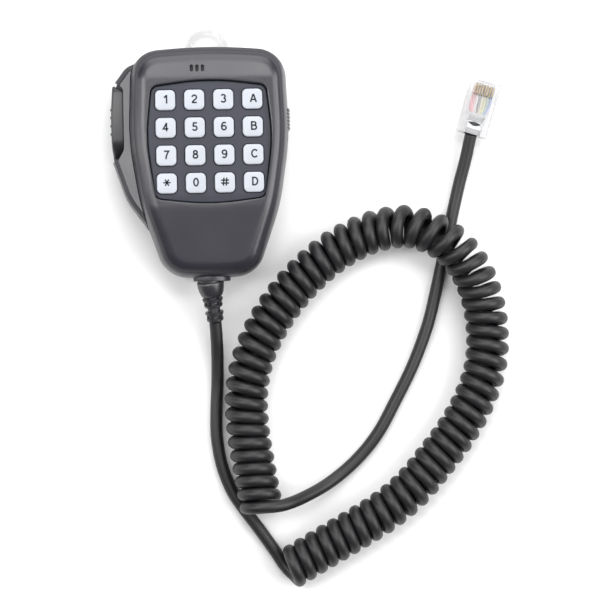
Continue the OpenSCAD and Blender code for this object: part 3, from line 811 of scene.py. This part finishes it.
# ------------ covers
def front_cover():
    """A shell with a rim round the keypad's recess, three microphone openings and a slot."""
    rings = [front_ring(CHAMFER, 0)] + [wall_ring(k / 10) for k in range(10)]
    edge_steps = 12
    for k in range(edge_steps + 1):
        a = WALL_LEAN + (math.pi / 2 - WALL_LEAN) * k / edge_steps
        rings.append(front_ring(FRONT_DRAFT + FRONT_EDGE - ROUND * math.cos(a),
                                FRONT_H - ROUND * (1 - math.sin(a))))
    rim = 0.75  # from the panel's outline out to where the rim's rounded edge starts
    rim_edge = 0.42
    face = case_ring(FRONT_DRAFT + FRONT_EDGE, CASE_H)
    rings += [face_ring(ring) for ring in between(face, panel_ring(-rim, CASE_H), 12)]
    for a in quarter(4):
        rings.append(face_ring(panel_ring(-rim + rim_edge * math.sin(a),
                                          CASE_H - rim_edge * (1 - math.cos(a)))))
    under = CASE_H - WALL - 1.4  # the ledge that the panel sits on, from below
    ledge, slack = 0.6, 0.4
    inner = FRONT_H - FRONT_EDGE - WALL - slack
    rings += [panel_ring(rim_edge - rim, PANEL_TOP), panel_ring(rim_edge - rim, under),
              panel_ring(rim_edge - rim - ledge, under),
              case_ring(FRONT_DRAFT + FRONT_EDGE - slack, under - slack),
              front_ring(FRONT_DRAFT + WALL, inner), front_ring(WALL, 0)]
    piece = add_part("front_shell", loft(rings, closed=True), case_plastic,
                     ("front_cover",), sharp=50)
    opening = rounded_box((-0.68, -1.35), (0.68, 1.35), 0.65, 15)
    middle_x, pitch, row_y = -0.6, 2.1, 39.7
    cutters = [prism(opening, CASE_H - 4.2, CASE_H + 1, (middle_x + pitch * i, row_y))
               for i in (-1, 0, 1)]
    slot_low = (slider_low[0] + 2, slider_low[1] - 2.8, slider_low[2] + 0.9)
    slot_high = (slider_high[0] + 2, slider_high[1] - 1.4, slider_high[2] - 0.9)
    cutters.append(box_part(slot_low, slot_high))
    cut(piece, cutters)


def screw_places():
    top_x, top_y, low_x, low_y = 19, 42, 11.5, -30
    return [(MID_X - top_x, top_y), (MID_X + top_x, top_y),
            (MID_X - low_x, low_y), (MID_X + low_x, low_y)]


def rear_cover():
    """A shell with counterbores for the screws and a notch for the hanger loop."""
    inner_edge = 4
    rings = [case_ring(BACK_DRAFT + WALL + inner_edge * (1 - math.cos(a)),
                       WALL + inner_edge - inner_edge * math.sin(a)) for a in reversed(quarter(5))]
    rings += [case_ring(WALL, PART_Z), case_ring(CHAMFER, PART_Z), case_ring(0, PART_Z - CHAMFER)]
    wall_h = PART_Z - BACK_EDGE - CHAMFER
    rings += [case_ring(BACK_DRAFT * k / 4, PART_Z - CHAMFER - wall_h * k / 4) for k in (1, 2, 3)]
    rings += [case_ring(BACK_DRAFT + BACK_EDGE * (1 - math.cos(a)),
                        BACK_EDGE - BACK_EDGE * math.sin(a)) for a in quarter(14)]
    piece = add_part("rear_shell", loft(rings), case_plastic, ("rear_cover",), sharp=50)
    notch_half = (pin_high[0] - pin_low[0]) / 2 - 1.8
    cutters = [box_part((MID_X - notch_half, PIN_Y - 2, -1),
                        (MID_X + notch_half, PIN_Y + 12, PIN_Z + 2.4))]
    counterbore = lathe([(0, -1), (2.6, -1), (2.6, 2.4), (0, 2.4)], 48)
    cutters += [moved(counterbore, Matrix.Translation((x, y, 0))) for x, y in screw_places()]
    cut(piece, cutters)


WING_RINGS = [  # distance in from the wing's outline, and height
    (2.4, WING_BOTTOM), (1.5, WING_BOTTOM + 0.2), (0.9, WING_BOTTOM + 0.8), (0.3, WING_BOTTOM + 2),
    (0.05, 7), (0, 9), (0.03, 12), (0.28, 14.4), (0.56, 15.8), (0.74, 16.5), (0.92, 16.95),
    (1.15, 17.35), (1.45, 17.75), (1.75, 18.08), (2.0, 18.3), (2.3, WING_TOP), (2.5, WING_TOP)]
WING_SLOPE = 0.14
WING_RIDGE_X = -25  # the wing's top falls away from here to the lever
WING_TILT_Z = 12  # and what is higher than this falls with it


def wing():
    """The lower step on the left that carries the lever."""
    rings = [raised(inset(WING, d), z) for d, z in WING_RINGS]
    for ring in rings:
        share = np.clip((ring[:, 2] - WING_TILT_Z) / (WING_TOP - WING_TILT_Z), 0, 1)
        ring[:, 2] -= WING_SLOPE * (WING_RIDGE_X - ring[:, 0]) * share
    piece = add_part("lever_wing", loft(rings), case_plastic, sharp=50)
    low = lever_low[2] - 0.6
    under_rim = rounded([(-44, 4.7, 0.5), (-31.4, 5.1, 1.0), (-27.6, 7.8, 2.0), (-26.4, 28, 4),
                         (-26.4, 34.4, 0.6), (-32.2, 35.9, 0.8), (-44, 35.3, 0.5)], 8)
    open_top = rounded([(-44, 5.0, 0.5), (-31.6, 5.2, 0.6), (-29.0, 9.6, 5), (-29.0, 33.2, 1.6),
                        (-32.2, 35.9, 0.8), (-44, 35.3, 0.5)], 6)
    gap = 0.2
    cover = loft([case_ring(-gap, PART_Z - 0.3)] + [wall_ring(k / 8, gap) for k in range(9)])
    cut(piece, [prism(under_rim, low, lever_high[2] + 0.5), prism(open_top, low, WING_TOP + 3),
                cover])


def exit_collar():
    """The round neck that the strain relief comes out of."""
    profile = [(0, 0), (7.0, 0), (7.2, 1.2), (7.2, 4.1), (7.1, 4.4), (6.85, 4.56), (6.6, 4.6),
               (5.2, 4.6), (5.0, 4.4), (4.8, 3.6), (0, 3.6)]
    out_y = -41.3
    squash = Matrix.Diagonal((1, 1, 0.74, 1))
    lay = (Matrix.Translation((MID_X, out_y + 4.6, PART_Z)) @ squash
           @ Matrix.Rotation(math.pi / 2, 4, "X"))
    add_part("exit_collar", moved(lathe(profile, 72), lay), case_plastic)


def screws():
    """Round heads in their counterbores, with cross recesses."""
    head = lathe([(0, 2.4), (2.35, 2.4), (2.35, 1.5), (2.1, 1.05), (1.4, 0.85), (0, 0.8)], 40)
    heads = [moved(head, Matrix.Translation((x, y, 0))) for x, y in screw_places()]
    piece = add_part("screw_heads", merged(heads), plated_steel, ("case_screws",))
    long, short = 1.25, 0.28
    crosses = [box_part((x - wide, y - tall, 0), (x + wide, y + tall, 1.7))
               for x, y in screw_places() for wide, tall in ((long, short), (short, long))]
    cut(piece, crosses)


# ------------ keypad
KEY_SIDE, KEY_ROUND = 7.7, 1.9
KEYS = [("1", "1"), ("2", "2"), ("3", "3"), ("a", "A"),
        ("4", "4"), ("5", "5"), ("6", "6"), ("b", "B"),
        ("7", "7"), ("8", "8"), ("9", "9"), ("c", "C"),
        ("star", "*"), ("0", "0"), ("hash", "#"), ("d", "D")]


def square(side, radius, step):
    return rounded_box((-side / 2, -side / 2), (side / 2, side / 2), radius, step)


def key_place(number):
    column, row = number % 4, number // 4
    return MID_X + (column - 1.5) * KEY_DX, KEYPAD_Y + (1.5 - row) * KEY_DY


def keypad_panel():
    """The plate in the recess, with a window for each key."""
    plate = slab(PANEL, panel_low[2], PANEL_TOP, 0.1, 0.35, 4, (MID_X, 0))
    piece = add_part("panel_plate", plate, panel_plastic, ("keypad_panel",))
    window = square(KEY_SIDE + 0.5, KEY_ROUND + 0.2, 8)
    windows = [prism(window, panel_low[2] - 1, PANEL_TOP + 1, key_place(n)) for n in range(16)]
    cut(piece, [merged(windows)], bevel=0.14)


def key_cap(number, suffix):
    """A cap with rounded upper edges and a slightly crowned top."""
    outline = square(KEY_SIDE, KEY_ROUND, 6)
    edge, crown = 0.55, 0.12
    top = KEY_TOP - crown
    rings = [raised(outline, panel_low[2] - 0.2)]
    for a in quarter(5):
        rings.append(raised(inset(outline, edge * (1 - math.cos(a))), top - edge * (1 - math.sin(a))))
    last = rings[-1]
    for scale in (0.85, 0.65, 0.42, 0.2, 0.04):
        rings.append(raised(last * scale, KEY_TOP - crown * scale ** 2))
    rings = [ring + (*key_place(number), 0) for ring in rings]
    name = "key_" + suffix
    add_part("cap_" + suffix, loft(rings), key_plastic, (name,), body=name + "_cap")


LEGEND_H = 3.25
LEGEND_T = 0.035  # thickness of the print, which is partly sunk in the cap
STROKE = 0.185  # of the legend's height


def arc(x, y, wide, tall, start, end):
    """Points on an ellipse, by angle in degrees."""
    steps = max(6, round(abs(end - start) / 12))
    angles = [math.radians(start + (end - start) * k / steps) for k in range(steps + 1)]
    return [(x + wide * math.cos(a), y + tall * math.sin(a)) for a in angles]


def upside_down(lines, x, y):
    """The lines, turned half round about a point."""
    return [[(2 * x - px, 2 * y - py) for px, py in line] for line in lines]


SIX = [arc(0.34, 0.31, 0.25, 0.24, 0, 360), arc(0.375, 0.50, 0.285, 0.43, 190, 48)]
GLYPHS = {  # centre lines of the strokes, 1 high
    "0": [arc(0.34, 0.5, 0.25, 0.43, 0, 360)],
    "1": [[(0.10, 0.73), (0.24, 0.76), (0.34, 0.86), (0.38, 0.96)], [(0.42, 0), (0.42, 1)]],
    "2": [arc(0.335, 0.68, 0.25, 0.25, 175, -20) + [(0.48, 0.47), (0.22, 0.27), (0.11, 0.07)],
          [(0.04, 0.07), (0.62, 0.07)]],
    "3": [arc(0.33, 0.735, 0.22, 0.195, 160, -80), arc(0.33, 0.295, 0.255, 0.225, 82, -160)],
    "4": [[(0.47, 0.93), (0.09, 0.29), (0.68, 0.29)], [(0.47, 0), (0.47, 1)]],
    "5": [[(0.60, 0.93), (0.20, 0.93), (0.14, 0.50)], arc(0.33, 0.32, 0.255, 0.25, 138, -158)],
    "6": SIX,
    "7": [[(0.05, 0.93), (0.60, 0.93), (0.44, 0.66), (0.32, 0.34), (0.27, 0)]],
    "8": [arc(0.34, 0.74, 0.205, 0.19, 0, 360), arc(0.34, 0.295, 0.25, 0.225, 0, 360)],
    "9": upside_down(SIX, 0.34, 0.5),
    "A": [[(0.06, 0), (0.39, 0.95)], [(0.41, 0.95), (0.74, 0)], [(0.17, 0.30), (0.63, 0.30)]],
    "B": [[(0.09, 0), (0.09, 1)], [(0.05, 0.93), (0.35, 0.93)] + arc(0.36, 0.735, 0.21, 0.195, 90, -90)
          + [(0.05, 0.54)], [(0.36, 0.54)] + arc(0.40, 0.305, 0.235, 0.235, 90, -90) + [(0.05, 0.07)]],
    "C": [arc(0.42, 0.5, 0.34, 0.43, 38, 322)],
    "D": [[(0.09, 0), (0.09, 1)], [(0.05, 0.93), (0.28, 0.93)] + arc(0.30, 0.5, 0.345, 0.43, 90, -90)
          + [(0.05, 0.07)]],
    "*": [[(0.04, 0.5), (0.90, 0.5)], [(0.26, 0.13), (0.68, 0.87)], [(0.68, 0.13), (0.26, 0.87)]],
    "#": [[(0.27, 0.03), (0.35, 0.97)], [(0.60, 0.03), (0.68, 0.97)], [(0.0, 0.33), (0.94, 0.33)],
          [(0.0, 0.67), (0.94, 0.67)]],
}


def ribbon(line, width):
    """A printed stroke: a thin plate of even width along a line."""
    line = np.array(line, float)
    closed = np.allclose(line[0], line[-1])
    ahead = np.diff(line, axis=0)
    ahead /= np.linalg.norm(ahead, axis=1)[:, None]
    before = np.vstack([ahead[-1] if closed else ahead[0], ahead])
    after = np.vstack([ahead, ahead[0] if closed else ahead[-1]])
    middle = before + after
    middle /= np.linalg.norm(middle, axis=1)[:, None]
    reach = width / 2 / np.clip((middle * after).sum(1), 0.5, 1)
    side = np.column_stack([-middle[:, 1], middle[:, 0]]) * reach[:, None]
    rings = []
    for point, out in zip(line, side):
        corners = [(point - out, 0), (point + out, 0), (point + out, LEGEND_T), (point - out, LEGEND_T)]
        rings.append([(p[0], p[1], z) for p, z in corners])
    return loft(rings)


def legend(number, suffix, sign):
    """The character printed on a key; the letters sit a little to the right."""
    lines = [np.array(line) * LEGEND_H for line in GLYPHS[sign]]
    wide = max(line[:, 0].max() for line in lines) + min(line[:, 0].min() for line in lines)
    width = STROKE * LEGEND_H * (0.9 if sign in "*#" else 1)
    right, up, sunk = (0.4 if sign in "ABCD" else 0.05), 0.3, 0.6 * LEGEND_T
    x, y = key_place(number)
    place = Matrix.Translation((x + right - wide / 2, y + up - LEGEND_H / 2, KEY_TOP - sunk))
    part = moved(merged([ribbon(line, width) for line in lines]), place)
    add_part("legend_" + suffix, part, legend_ink, body=f"key_{suffix}_cap")


# ------------ lever
LEVER = [  # y, outer x and inner x of the grip
    (6.9, -32.6, -31.6), (7.15, -33.0, -30.9), (7.9, -33.3, -30.0), (9.0, -33.5, -29.3),
    (10.5, -33.65, -28.9), (12.5, -33.8, -28.7), (16, -33.9, -28.7), (20.5, -33.9, -28.7),
    (25, -33.8, -28.7), (29, -33.55, -28.7), (31.6, -33.35, -28.7), (32.4, -33.3, -29.2),
    (33.2, -33.25, -30.6), (33.9, -33.1, -31.9), (34.2, -32.9, -32.3)]
LEVER_BEND_Y = 13.6  # below here its top curves down to its low end
LEVER_END_H = 1.8  # height that is left there
LEVER_SAG_Y, LEVER_SAG = 31, 0.003  # its top sags below here, by this times the distance squared
LEVER_TIP_Y, LEVER_TIP = 31.6, 0.25  # and above here
LEVER_SLOPE = 0.13  # of its top, down to the outside
RIDGE_Y = (16, 19.1, 22.4, 25.3)
RIDGE_R = 0.46


def lever_section(y, low, high):
    """The grip's outline across its length, as points."""
    start, outers, inners = np.array(LEVER).T
    outer, inner = np.interp(y, start, outers), np.interp(y, start, inners)
    top = high - LEVER_SAG * max(LEVER_SAG_Y - y, 0) ** 2 - LEVER_TIP * max(y - LEVER_TIP_Y, 0) ** 2
    dip = np.clip((LEVER_BEND_Y - y) / (LEVER_BEND_Y - start[0]), 0, 1)
    top -= (top - low - LEVER_END_H) * (1 - math.sqrt(1 - dip ** 2))
    section = rounded_box((outer, low), (inner, top), min(0.9, (inner - outer) * 0.45), 15)
    share = np.clip((section[:, 1] - low) / (top - low), 0, 1)
    height = section[:, 1] - LEVER_SLOPE * (inner - section[:, 0]) * share
    return np.column_stack([section[:, 0], np.full(len(section), y), height])


def ptt_lever():
    """A grip of rounded section that curves down to its lower end, with ridges on its outer side."""
    low, high = lever_low[2], lever_high[2]
    middle = (LEVER[0][0] + LEVER[-1][0]) / 2
    reach = middle - LEVER[0][0]
    parts = [loft([lever_section(middle - reach * math.cos(math.pi * k / 60), low, high)
                   for k in range(61)])]
    half = (high - low) / 2 - 1.8
    ridge = [(0.0, -half)]
    ridge += [(RIDGE_R * math.sin(a), -half + RIDGE_R * (1 - math.cos(a))) for a in quarter(4)]
    ridge += [(r, -z) for r, z in reversed(ridge)]
    for y in RIDGE_Y:
        x = np.interp(y, [row[0] for row in LEVER], [row[1] for row in LEVER]) + 0.06
        parts.append(moved(lathe(ridge, 24), Matrix.Translation((x, y, low + half + 1.3))))
    parts.append(box_part((-29.4, 8.6, 5.3), (-25.6, 11.4, 11.3)))  # its lug, up to the pin
    add_part("lever_grip", merged(parts), lever_plastic, ("ptt_lever",), body="ptt",
             sharp=50)


# ------------ hanger loop
def hanger_loop():
    """A clear bail: two legs from the hinge pin and a half-round bow, rounded in section."""
    outer = (hook_high[0] - hook_low[0]) / 2
    band = 2.4
    middle = outer - band / 2
    arc_y = hook_high[1] - outer
    path = [(middle, PIN_Y - 1.2), (middle, PIN_Y + 1.2), (middle, (PIN_Y + arc_y) / 2)]
    path += [(middle * math.cos(math.radians(a)), arc_y + middle * math.sin(math.radians(a)))
             for a in range(0, 181, 5)]
    path += [(-x, y) for x, y in reversed(path[:3])]
    path = np.array(path)
    section = square(band, 0.75, 15)
    rings = []
    for i, (x, y) in enumerate(path):
        ahead = unit(path[min(i + 1, len(path) - 1)] - path[max(i - 1, 0)])
        out = np.array([ahead[1], -ahead[0]])
        rings.append([(MID_X + x + out[0] * u, y + out[1] * u, PIN_Z + v)
                      for u, v in section[:, :2]])
    add_part("hanger_bow", loft(rings), clear_loop, ("hanger_loop",), body="hanger",
             sharp=50)


# ------------ strain relief
RELIEF_SHOULDER = [
    (0, -3.4), (4.3, -3.4), (4.4, -1.9), (4.95, -1.7), (5.2, -1.3), (5.2, -0.6), (5.1, 0.6),
    (4.85, 1.9), (4.55, 3.0), (4.2, 3.8), (3.75, 4.3), (3.2, 4.5), (0, 4.5)]
RELIEF_CORE = [(0, 4.2), (2.5, 4.2), (2.42, 14.1), (2.3, 14.4), (0, 14.4)]
RELIEF_RINGS = ((5.05, 8.5, 4.05, 3.5), (10.4, 14.1, 3.6, 3.15))  # from, to, radius at each
RELIEF_WEBS = ((4.4, 5.2, 3.3), (8.4, 10.5, 3.1))  # from, to, reach


def strain_relief():
    """A smooth tapered shoulder, then two waisted rings with windows between ribs."""
    droop, sweep = math.radians(13), math.radians(6.5)
    place = (Matrix.Translation((MID_X - 0.5, -42.8, PART_Z)) @ Matrix.Rotation(sweep, 4, "Z")
             @ Matrix.Rotation(math.pi / 2 + droop, 4, "X"))

    def turned_to(degrees):
        return place @ Matrix.Rotation(math.radians(degrees), 4, "Z")

    parts = [moved(lathe(profile, 64), place) for profile in (RELIEF_SHOULDER, RELIEF_CORE)]
    for low, high, wide_low, wide_high in RELIEF_RINGS:
        for start, end in ((0, 0.34), (0.66, 1)):
            h0, h1 = low + (high - low) * start, low + (high - low) * end
            r0, r1 = (wide_low + (wide_high - wide_low) * share for share in (start, end))
            ring = [(0, h0), (r0 - 0.25, h0), (r0, h0 + 0.2), (r1, h1 - 0.2), (r1 - 0.25, h1),
                    (0, h1)]
            parts.append(moved(lathe(ring, 64), place))
        for k in range(8):
            reach = wide_high - (0.1 if k % 2 == 0 else 0.7)
            rib = box_part((1.5, -0.55, low + 0.3), (reach, 0.55, high - 0.3))
            parts.append(moved(rib, turned_to(45 * k)))
    for low, high, reach in RELIEF_WEBS:
        web = box_part((1.2, -1.0, low), (reach, 1.0, high))
        parts += [moved(web, turned_to(degrees)) for degrees in (90, 270)]
    add_part("cord_relief", merged(parts), relief_rubber, ("strain_relief",))


front_cover()
rear_cover()
wing()
exit_collar()
screws()
keypad_panel()
for number, (suffix, sign) in enumerate(KEYS):
    key_cap(number, suffix)
    legend(number, suffix, sign)
ptt_lever()
soften(nodes["lock_slider"], 0.14)  # the CAD node shows, with its edges rounded
hanger_loop()
strain_relief()


# ------------ table and light
LIGHTS = [  # name, place, aim, size across and along, radiance
    ("key", (0.08, 0.42, 1.12), (0.04, -0.04, 0), (0.5, 0.25), 9.0),
    ("back", (0.02, 1.1, 0.5), (0.04, -0.04, 0), (1.4, 0.5), 3.6),
    ("back_high", (0.03, 0.8, 0.9), (0.04, -0.04, 0), (0.8, 0.3), 4.2),
    ("right", (0.85, -0.1, 0.6), (0.03, -0.05, 0), (1.0, 0.3), 6.5),
    ("right_high", (0.6, 0.0, 0.95), (0.04, -0.04, 0), (0.8, 0.4), 4.5),
    ("front_high", (0.25, -0.42, 1.1), (0.04, -0.04, 0), (0.5, 0.3), 1.6),
    ("left", (-0.85, 0.0, 0.5), (0.02, -0.03, 0), (0.25, 1.0), 4.4),
    ("left_high", (-0.45, 0.1, 1.1), (0.04, -0.04, 0), (0.25, 0.6), 11.0),
]


def make_table():
    """A white table top, which is the stage and not part of the object."""
    half = 1.5
    corners = [(-half, -half, 0), (half, -half, 0), (half, half, 0), (-half, half, 0)]
    data = bpy.data.meshes.new("table")
    data.from_pydata(corners, [], [(0, 1, 2, 3)])
    table = bpy.data.objects.new("table", data)
    bpy.context.scene.collection.objects.link(table)
    material, tree, shader, where = new_material("table_white")
    shade = two_colours(tree, noise(tree, where, 100 / 3, 3), (0.84, 0.84, 0.84), (0.86, 0.86, 0.86))
    tree.links.new(shade, shader.inputs["Base Color"])
    shader.inputs["Roughness"].default_value = 0.7
    shader.inputs["Specular IOR Level"].default_value = 0.2
    data.materials.append(material)


def soft_light(name, place, aim, size, radiance):
    """A rectangular lamp, in metres."""
    data = bpy.data.lights.new(name, "AREA")
    data.shape = "RECTANGLE"
    data.size, data.size_y = size
    data.energy = radiance * math.pi * size[0] * size[1]
    lamp = bpy.data.objects.new(name, data)
    lamp.location = place
    lamp.rotation_euler = (Vector(aim) - Vector(place)).to_track_quat("-Z", "Y").to_euler()
    bpy.context.scene.collection.objects.link(lamp)


def make_light():
    world = bpy.data.worlds.new("studio")
    world.use_nodes = True
    background = world.node_tree.nodes["Background"]
    background.inputs["Color"].default_value = (1, 1, 1, 1)
    background.inputs["Strength"].default_value = 0.2
    bpy.context.scene.world = world
    for light in LIGHTS:
        soft_light(*light)


make_table()
make_light()
bpy.context.scene.view_settings.view_transform = "Standard"
